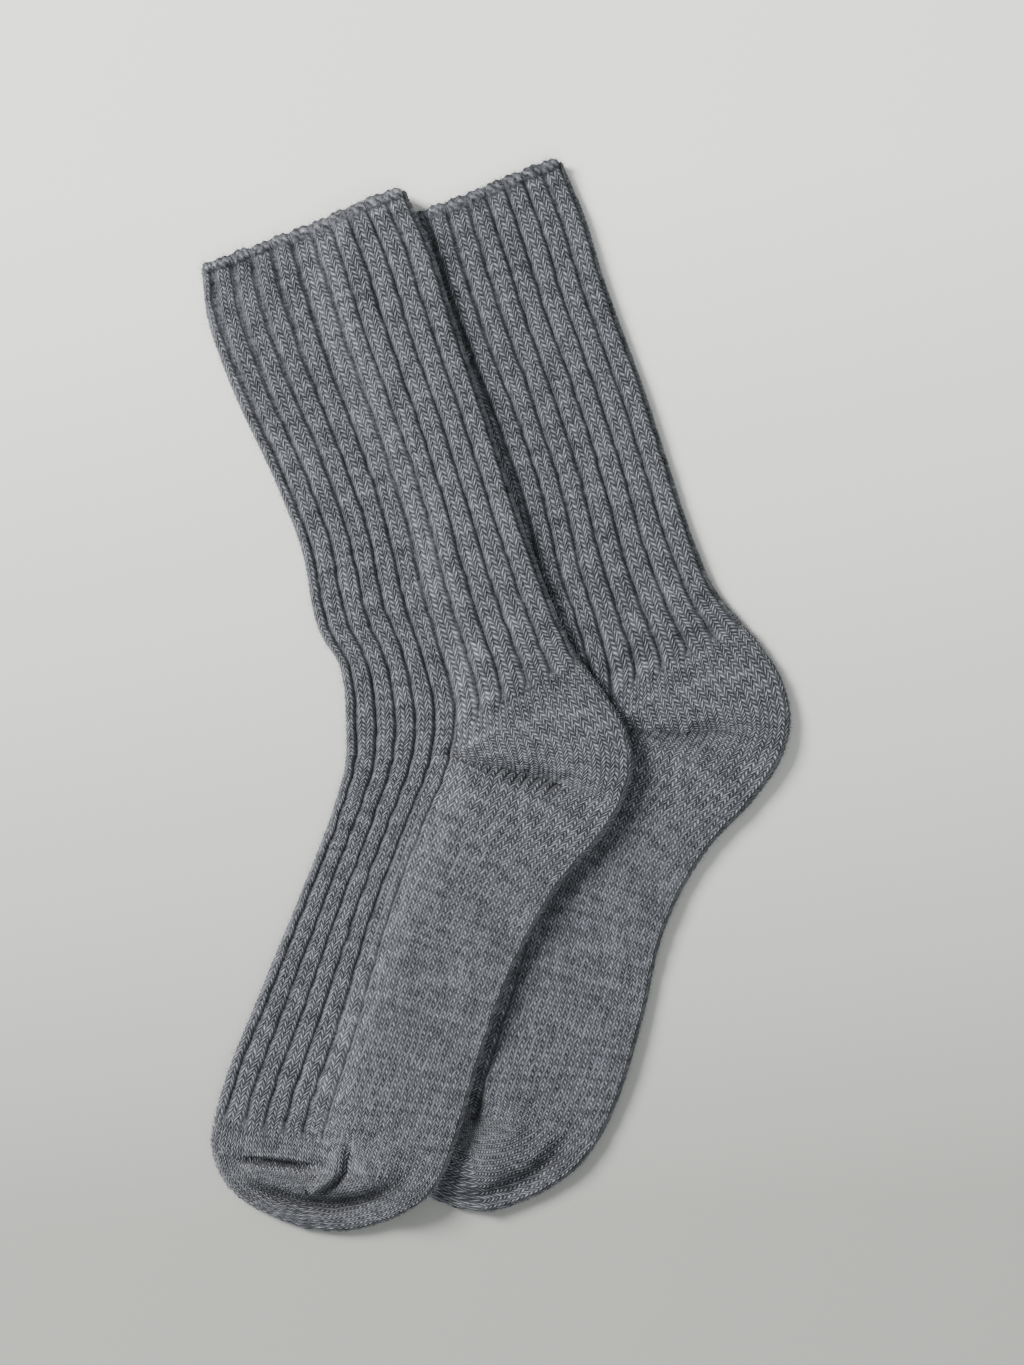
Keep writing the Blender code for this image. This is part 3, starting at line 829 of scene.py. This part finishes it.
    # Painted shade: darker in the rib grooves, the fold valleys and the gore's slots, by the mesh's
    # painted shade values.
    shade = math(tree, "SUBTRACT", shade, math(tree, "MULTIPLY", groove_and_shade, GROOVE_SHADE))
    ramp = node(tree, "ShaderNodeValToRGB", {0: shade})
    ramp.color_ramp.elements[0].color = (*dark, 1.0)
    ramp.color_ramp.elements[0].position = 0.0
    ramp.color_ramp.elements[1].color = (*light, 1.0)
    ramp.color_ramp.elements[1].position = 1.0
    ramp.color_ramp.elements.new(0.5).color = (*middle, 1.0)
    relief = math(tree, "MULTIPLY_ADD", fibre, FIBRE_BUMP, yarn)
    bump = node(tree, "ShaderNodeBump", {"Height": relief, "Strength": 0.8, "Distance": BUMP_HEIGHT})
    tree.links.new(ramp.outputs[0], shader.inputs["Base Color"])
    tree.links.new(bump.outputs[0], shader.inputs["Normal"])
    shader.inputs["Roughness"].default_value = 0.95
    shader.inputs["Specular IOR Level"].default_value = 0.2
    shader.inputs["Sheen Weight"].default_value = 0.25
    shader.inputs["Sheen Roughness"].default_value = 0.45
    return material


def all_wales(first, last):
    """Every grid line across, four to a wale."""
    return np.arange(first, last + 0.5 * WALE_STEP, WALE_STEP)


def fewer_in_purl(wales):
    """The same lines with half as many in the purl wales, where they hardly show."""
    in_purl = from_groove(wales) < 1.0
    kept = ~in_purl | (wales % 0.5 == 0.0) | (wales <= FRONT_WALE) | (wales >= BACK_WALE)
    return wales[kept]


def coarse_wales(first, last):
    """Lines across an underside: its grooves and the shoulders and crests of its ribs."""
    inside = np.arange(np.ceil(first), last, 1.0)
    return np.unique(np.concatenate(((first,), inside, (last,))))


LEG_LINES = np.concatenate(((0.0, 0.08), np.arange(ROW_STEP, HEEL_START + 0.5 * ROW_STEP, ROW_STEP)))
HEEL_LINES = np.arange(HEEL_START, HEEL_START + HEEL_ROWS + 0.5 * ROW_STEP, ROW_STEP)
LEG_WALES = np.concatenate((fewer_in_purl(all_wales(FRONT_WALE, MIDDLE_WALE)),
                            all_wales(MIDDLE_WALE + WALE_STEP, BACK_WALE)))
HEEL_WALES = all_wales(MIDDLE_WALE, BACK_WALE)
UNDER_LEG_WALES = coarse_wales(FRONT_WALE, BACK_WALE)
UNDER_HEEL_WALES = coarse_wales(MIDDLE_WALE, BACK_WALE)
LEG_STATIONS = np.concatenate((np.linspace(0.0, 98.0, 12), np.linspace(107.0, 137.0, 7)))


def make_leg(sock, name, material):
    """Leg and heel pocket: both faces, the bound edge of the cuff and the inner face."""
    bm = bmesh.new()
    leg = knit_face(sock, lay_leg, ribbed_leg, LEG_LINES, LEG_WALES)
    add_face(bm, leg, upper_face(sock, leg), 1.0)
    heel = knit_face(sock, lay_heel, plain, HEEL_LINES, HEEL_WALES)
    add_face(bm, heel, upper_face(sock, heel), 1.0)
    leg = knit_face(sock, lay_leg, ribbed_leg, LEG_LINES, UNDER_LEG_WALES)
    add_face(bm, leg, underside(sock, leg), -1.0)
    heel = knit_face(sock, lay_heel, plain, HEEL_LINES, UNDER_HEEL_WALES)
    add_face(bm, heel, underside(sock, heel), -1.0)
    raise_stitches(bm)
    outer = loops_of(bm)
    add_inner_face(bm, sock, LEG_STATIONS, False)
    inner = [loop for loop in loops_of(bm) if not any(loop & one for one in outer)]
    close_wall(bm, outer, inner)
    return finish_piece(bm, name, material)


LOWER_HEEL_TURN = 16.0
lower = Sock(LOWER_SHIFT, LOWER_TOE_SHIFT, ("lower_x", "lower_y"), LOWER_FOLDS, LOWER_UNDER_FOLDS,
             LOWER_GORE, LOWER_HEEL_TURN, 11)
lower_yarn = melange_yarn("lower_melange_yarn", (0.018, 0.019, 0.022), (0.118, 0.124, 0.142),
                          (0.38, 0.393, 0.434))
lower_leg = make_leg(lower, "lower_leg", lower_yarn)
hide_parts("lower_sock")
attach(lower_leg, "root")


# Lower sock, foot and toe
# The ribs run on over the instep and the sole is knitted plain, from the heel's last row. The plain
# toe is worked to a point and its end is linked shut, with a seam across the toes.
FOOT_WALES = all_wales(FRONT_WALE, BACK_WALE)
UNDER_FOOT_WALES = coarse_wales(FRONT_WALE, BACK_WALE)
FOOT_STATIONS = np.concatenate((np.linspace(137.0, 208.0, 9), np.linspace(217.0, 241.0, 6)))
TOE_GORE_SHARE = 0.5
LOWER_TOE_START = 190.0


def lay_toe(sock, turned, ribs):
    """Places of the toe's stitches: short rows around the tip, from the sole back to the instep."""
    half = TOE_END - sock.toe_start
    turned = np.clip(turned - sock.toe_start, 0.0, 2.0 * half)
    sole_side = sock.back(sock.toe_start + HEEL_ROWS + np.minimum(turned, half))
    front_side = sock.front(TOE_END - np.maximum(turned - half, 0.0))
    edge = np.where((turned < half)[..., None], sole_side, front_side)
    depth = 1.0 - np.abs(turned / half - 1.0)
    share = (ribs - MIDDLE_RIB) / (RIBS - MIDDLE_RIB)
    plan = lay_pocket(edge, sock.toe_gore, TOE_GORE_SHARE, depth, share)
    plan[..., 1] += seam_bend(share) * ease((turned - 2.0 * half) / SEAM_REACH + 1.0)
    return plan


def make_foot(sock, name, material):
    """Instep, sole and toe: both faces and the inner face."""
    bm = bmesh.new()
    toe_end = 2.0 * TOE_END - sock.toe_start
    foot_lines = np.arange(HEEL_START, sock.toe_start + 0.5 * ROW_STEP, ROW_STEP)
    toe_lines = np.arange(sock.toe_start, toe_end + 0.5 * ROW_STEP, ROW_STEP)
    for wales, face, sign in ((FOOT_WALES, upper_face, 1.0), (UNDER_FOOT_WALES, underside, -1.0)):
        foot = knit_face(sock, lay_foot, ribbed_foot, foot_lines, wales)
        toe = knit_face(sock, lay_toe, plain, toe_lines, wales[wales >= MIDDLE_WALE])
        seam = foot.plan[-1, wales <= MIDDLE_WALE]
        linked = np.round(np.linspace(len(seam) - 1, 0, toe.plan.shape[1])).astype(int)
        toe.plan[-1] = seam[linked]
        add_face(bm, foot, face(sock, foot), sign)
        add_face(bm, toe, face(sock, toe), sign)
    raise_stitches(bm)
    outer = loops_of(bm)
    add_inner_face(bm, sock, FOOT_STATIONS, True)
    inner = [loop for loop in loops_of(bm) if not any(loop & one for one in outer)]
    close_wall(bm, outer, inner)
    return finish_piece(bm, name, material)


lower.toe_start = LOWER_TOE_START
lower_gore_start = lower.middle(np.array(LOWER_TOE_START))
lower.toe_gore = Fold(lower_gore_start, (-8.0, -160.0), (-10.0, -166.0), 1.0, 0.0)
lower_foot = make_foot(lower, "lower_foot", lower_yarn)
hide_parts("lower_sock")
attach(lower_foot, "root")


# Upper sock, leg and heel
# The second sock of the pair, knitted as the first one is. Its back half lies over the lower sock's
# front half, and the cloth eases down to the surface in front of that.
UPPER_GORE = Fold((-17.0, -22.5), (3.0, -26.9), (24.5, -32.8), 2.4, -1.3)
UPPER_HEEL_TURN = 24.0
UPPER_FOLDS = (
    Fold((15.0, -15.0), (24.0, -22.0), (30.0, -32.0), 20.0, 1.4),
    UPPER_GORE,
    Fold((-12.0, -9.0), (10.0, -1.5), (31.0, 7.0), 2.5, -0.7, 6.0),
    Fold((10.0, -27.8), (18.0, -30.0), (26.5, -33.2), 3.0, -1.6, 3.0),
    Fold((-98.0, -171.3), (-80.0, -173.6), (-61.5, -175.4), 1.3, -3.1, 10.0),
    Fold((-103.0, -168.5), (-82.0, -176.2), (-66.0, -177.8), 1.7, 1.3, 4.0),
    Fold((-86.0, -176.5), (-63.0, -181.0), (-41.0, -174.0), 6.5, 2.2),
    Fold((-60.5, -168.0), (-60.5, -178.5), (-70.0, -183.0), 2.6, 2.3, 5.0),
    Fold((-57.0, -162.5), (-55.5, -176.5), (-71.0, -187.0), 1.4, -1.9, 10.0),
    Fold((-97.0, -176.5), (-63.0, -189.0), (-30.0, -177.5), 2.7, -4.2, 24.0),
    Fold((-107.0, -167.5), (-105.0, -168.5), (-102.0, -169.5), 2.2, 1.0),
)
UPPER_UNDER_FOLDS = (
    Fold((-52.0, -20.0), (-30.0, -12.0), (-4.0, -16.0), 3.5, 0.6, 12.0),
    Fold((-66.0, -88.0), (-42.0, -96.0), (-12.0, -93.0), 4.0, 0.5, 12.0),
    Fold((-90.0, -146.0), (-66.0, -151.0), (-36.0, -142.0), 3.0, 0.6, 12.0),
)
LOWER_TOP = 5.5
CLEARANCE = 0.35
DRAPE_MARGIN = 3.0
DRAPE_REACH = 18.0


def inside_outline(points, outline):
    """Whether each point lies inside a closed outline."""
    following = np.roll(outline, -1, axis=0)
    x, y = points[:, :1], points[:, 1:]
    spans = (outline[:, 1] > y) != (following[:, 1] > y)
    rise = following[:, 1] - outline[:, 1]
    rise = np.where(rise == 0.0, 1.0, rise)
    crossing = outline[:, 0] + (y - outline[:, 1]) * (following[:, 0] - outline[:, 0]) / rise
    return (spans & (x < crossing)).sum(1) % 2 == 1


def over_lower_sock(points):
    """Height of the upper sock's underside: up over the lower sock, eased down beside it."""
    gap = distance_to_line(points, np.vstack((lower.edge, lower.edge[:1])))
    for first in range(0, len(points), BLOCK):
        inside = inside_outline(points[first:first + BLOCK], lower.edge)
        gap[first:first + BLOCK][inside] = 0.0
    return (LOWER_TOP + CLEARANCE) * ease(1.0 - (gap - DRAPE_MARGIN) / DRAPE_REACH)


upper = Sock((0.0, 0.0), (0.0, 0.0), ("upper_x", "upper_y"), UPPER_FOLDS, UPPER_UNDER_FOLDS,
             UPPER_GORE, UPPER_HEEL_TURN, 23, under=over_lower_sock)
upper_yarn = melange_yarn("upper_melange_yarn", (0.019, 0.02, 0.023), (0.124, 0.13, 0.148),
                          (0.39, 0.403, 0.444))
upper_leg = make_leg(upper, "upper_leg", upper_yarn)
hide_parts("upper_sock")
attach(upper_leg, "root")


# Upper sock, foot and toe
# As on the lower sock. The toe is pushed up a little, so that it has a crease over the toes.
UPPER_TOE_START = 196.0
upper.toe_start = UPPER_TOE_START
upper_gore_start = upper.middle(np.array(UPPER_TOE_START))
upper.toe_gore = Fold(upper_gore_start, (-67.5, -180.5), (-71.0, -184.0), 1.0, 0.0)
upper_foot = make_foot(upper, "upper_foot", upper_yarn)
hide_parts("upper_sock")
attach(upper_foot, "root")


# Fuzz of both socks
# Fine loose fibres of the wool, thickest where the cloth turns over at the folds and at the cuff.
# Each is a thin bent hair that grows out of the yarn; those of one sock are joined in one piece.
HAIRS = 5000
HAIR_RADIUS = 0.05
HAIR_TIP = 0.5
HAIR_RINGS = 4
HAIR_ROOT = 0.3
SHORT_HAIR = 0.7
LONG_HAIR = 2.1
HAIR_SPREAD = 0.75
HAIR_BEND = 0.45
FOLD_HAIRS = 0.66
CUFF_HAIRS = 0.17
LOWEST_HAIR = 0.1


def skin_places(piece):
    """Places, normals, wales and rows of the outer skin of a piece."""
    points = piece.data.vertices
    place = np.empty(3 * len(points))
    normal = np.empty(3 * len(points))
    points.foreach_get("co", place)
    points.foreach_get("normal", normal)
    counts = []
    for name in ("wale", "row"):
        values = np.empty(len(points))
        piece.data.attributes[name].data.foreach_get("value", values)
        counts.append(values)
    return np.column_stack((place.reshape(-1, 3) / MM, normal.reshape(-1, 3), *counts))


def hair_places(pieces, draw, covered):
    """Root and normal of each hair, drawn at random from the folds, the cuff and the upper face."""
    skin = np.concatenate([skin_places(piece) for piece in pieces])
    skin = skin[(skin[:, 6] >= FRONT_WALE) & (skin[:, 6] != 0.0)]
    skin = skin[~covered(skin[:, :2] + PAIR_CENTRE[:2])]
    wale, row = skin[:, 6], skin[:, 7]
    cuff = row < RIM_ROWS
    fold = ~cuff & ((wale < FRONT_WALE + 0.5) | (wale > BACK_WALE - 0.5))
    weight = (1.0 - FOLD_HAIRS - CUFF_HAIRS) / len(skin)
    weight = weight + FOLD_HAIRS * fold / fold.sum() + CUFF_HAIRS * cuff / cuff.sum()
    picked = skin[draw.choice(len(skin), HAIRS, p=weight / weight.sum())]
    return picked[:, :3], picked[:, 3:6]


def unit(ways):
    """Ways made one long."""
    return ways / np.linalg.norm(ways, axis=-1, keepdims=True)


def make_fuzz(name, pieces, material, seed, covered):
    """All hairs of one sock: one thin closed hair repeated, then each one set and bent in its place."""
    draw = np.random.default_rng(seed)
    bm = bmesh.new()
    bmesh.ops.create_cone(bm, cap_ends=True, segments=3, radius1=1.0, radius2=HAIR_TIP, depth=1.0)
    for cut in np.linspace(-0.5, 0.5, HAIR_RINGS)[1:-1]:
        parts = bm.verts[:] + bm.edges[:] + bm.faces[:]
        bmesh.ops.bisect_plane(bm, geom=parts, plane_co=(0.0, 0.0, cut), plane_no=(0.0, 0.0, 1.0))
    one_hair = bpy.data.meshes.new(name + "_one")
    bm.to_mesh(one_hair)
    bm.free()
    piece = bpy.data.objects.new(name, one_hair)
    bpy.context.scene.collection.objects.link(piece)
    repeat = piece.modifiers.new("repeat", "ARRAY")
    repeat.count = HAIRS
    mesh = bpy.data.meshes.new_from_object(piece.evaluated_get(bpy.context.evaluated_depsgraph_get()))
    piece.modifiers.remove(repeat)
    piece.data = mesh
    shape = np.array([vertex.co[:] for vertex in one_hair.vertices])[None]
    root, normal = hair_places(pieces, draw, covered)
    way = unit(normal + HAIR_SPREAD * draw.normal(size=root.shape))[:, None]
    bend = unit(draw.normal(size=root.shape))[:, None]
    side = unit(np.cross(way, bend))
    length = draw.uniform(SHORT_HAIR, LONG_HAIR, (HAIRS, 1, 1))
    along = shape[..., 2:] + 0.5
    centre = root[:, None] - HAIR_ROOT * way + length * (along * way + HAIR_BEND * along ** 2 * bend)
    thick = HAIR_RADIUS * (shape[..., :1] * side + shape[..., 1:2] * np.cross(way, side))
    place = centre + thick
    place[..., 2] = np.maximum(place[..., 2], LOWEST_HAIR)
    mesh.vertices.foreach_set("co", (place * MM).ravel())
    mesh.update()
    mesh.materials.append(material)
    return piece


def wool_hair(name, colour):
    """Matt single fibre of the wool, in the middle shade of its yarn."""
    material = bpy.data.materials.new(name)
    material.use_nodes = True
    shader = material.node_tree.nodes["Principled BSDF"]
    shader.inputs["Base Color"].default_value = (*colour, 1.0)
    shader.inputs["Roughness"].default_value = 0.9
    return material


def under_upper_sock(plan):
    return inside_outline(plan, upper.edge)


def under_nothing(plan):
    return np.zeros(len(plan), dtype=bool)


lower_hair = wool_hair("lower_hair", (0.15, 0.156, 0.175))
lower_fuzz = make_fuzz("lower_fuzz", (lower_leg, lower_foot), lower_hair, 51, under_upper_sock)
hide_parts("lower_sock")
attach(lower_fuzz, "root")

upper_hair = wool_hair("upper_hair", (0.155, 0.161, 0.18))
upper_fuzz = make_fuzz("upper_fuzz", (upper_leg, upper_foot), upper_hair, 52, under_nothing)
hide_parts("upper_sock")
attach(upper_fuzz, "root")


# Surface, light and camera
# A pale matt table top, with light painted into its colour so that it is lighter towards the top and a
# little towards the left, a large soft lamp up to the left beyond the cuffs, a weak one opposite, and
# the camera straight above the pair.
FLOOR_SIZE = 3.0
PAINTED_LIGHT_UP = 2.6
PAINTED_LIGHT_RIGHT = -0.1
PHOTO_WIDTH = 1024
PHOTO_HEIGHT = 1365
PIXEL = 0.37 * MM
PAIR_PIXEL = (495.5, 694.5)
CAMERA_HEIGHT = 1.3
SENSOR = 36.0
SOCK_MIDDLE_HEIGHT = 0.004

floor_mesh = bpy.data.meshes.new("floor")
bm = bmesh.new()
bmesh.ops.create_grid(bm, x_segments=1, y_segments=1, size=0.5 * FLOOR_SIZE)
bm.to_mesh(floor_mesh)
bm.free()
floor = bpy.data.objects.new("floor", floor_mesh)
bpy.context.scene.collection.objects.link(floor)
paper = bpy.data.materials.new("pale_surface")
paper.use_nodes = True
paper_tree = paper.node_tree
paper_place = node(paper_tree, "ShaderNodeTexCoord").outputs["Object"]
spot = node(paper_tree, "ShaderNodeSeparateXYZ", {0: paper_place})
# Painted light: the surface's colour is lighter towards the top and a little towards the left, as light
# falls off away from the lamp.
painted_light_level = math(paper_tree, "MULTIPLY_ADD", spot.outputs[1], PAINTED_LIGHT_UP, 0.5)
painted_light_level = math(paper_tree, "ADD", painted_light_level, math(paper_tree, "MULTIPLY", spot.outputs[0], PAINTED_LIGHT_RIGHT))
paper_tone = node(paper_tree, "ShaderNodeValToRGB", {0: painted_light_level})
paper_tone.color_ramp.elements[0].color = (0.385, 0.385, 0.367, 1.0)
paper_tone.color_ramp.elements[1].color = (0.985, 0.985, 0.953, 1.0)
paper_tree.links.new(paper_tone.outputs[0], paper_tree.nodes["Principled BSDF"].inputs["Base Color"])
paper_tree.nodes["Principled BSDF"].inputs["Roughness"].default_value = 0.85
floor_mesh.materials.append(paper)


def add_lamp(name, place, size, power, colour):
    """A soft square lamp that points at the middle of the pair."""
    data = bpy.data.lights.new(name, "AREA")
    data.size = size
    data.energy = power
    data.color = colour
    lamp = bpy.data.objects.new(name, data)
    lamp.location = place
    to_pair = -lamp.location
    lamp.rotation_euler = to_pair.to_track_quat("-Z", "Y").to_euler()
    bpy.context.scene.collection.objects.link(lamp)


add_lamp("key_lamp", (-2.47, 1.5, 1.8), 1.1, 282.0, (1.0, 0.985, 0.96))
add_lamp("fill_lamp", (0.3, -1.2, 1.3), 1.2, 8.0, (0.95, 0.98, 1.0))
world = bpy.data.worlds.new("room")
world.use_nodes = True
world.node_tree.nodes["Background"].inputs[0].default_value = (0.93, 0.97, 0.95, 1.0)
world.node_tree.nodes["Background"].inputs[1].default_value = 0.5
bpy.context.scene.world = world

camera_data = bpy.data.cameras.new("camera")
camera_data.sensor_width = SENSOR
view_height = PHOTO_HEIGHT * PIXEL
camera_data.lens = SENSOR * (CAMERA_HEIGHT - SOCK_MIDDLE_HEIGHT) / view_height
camera = bpy.data.objects.new("camera", camera_data)
camera.location = (
    (0.5 * PHOTO_WIDTH - PAIR_PIXEL[0]) * PIXEL - PAIR_CENTRE[0] * MM,
    (PAIR_PIXEL[1] - 0.5 * PHOTO_HEIGHT) * PIXEL,
    CAMERA_HEIGHT,
)
bpy.context.scene.collection.objects.link(camera)
bpy.context.scene.camera = camera
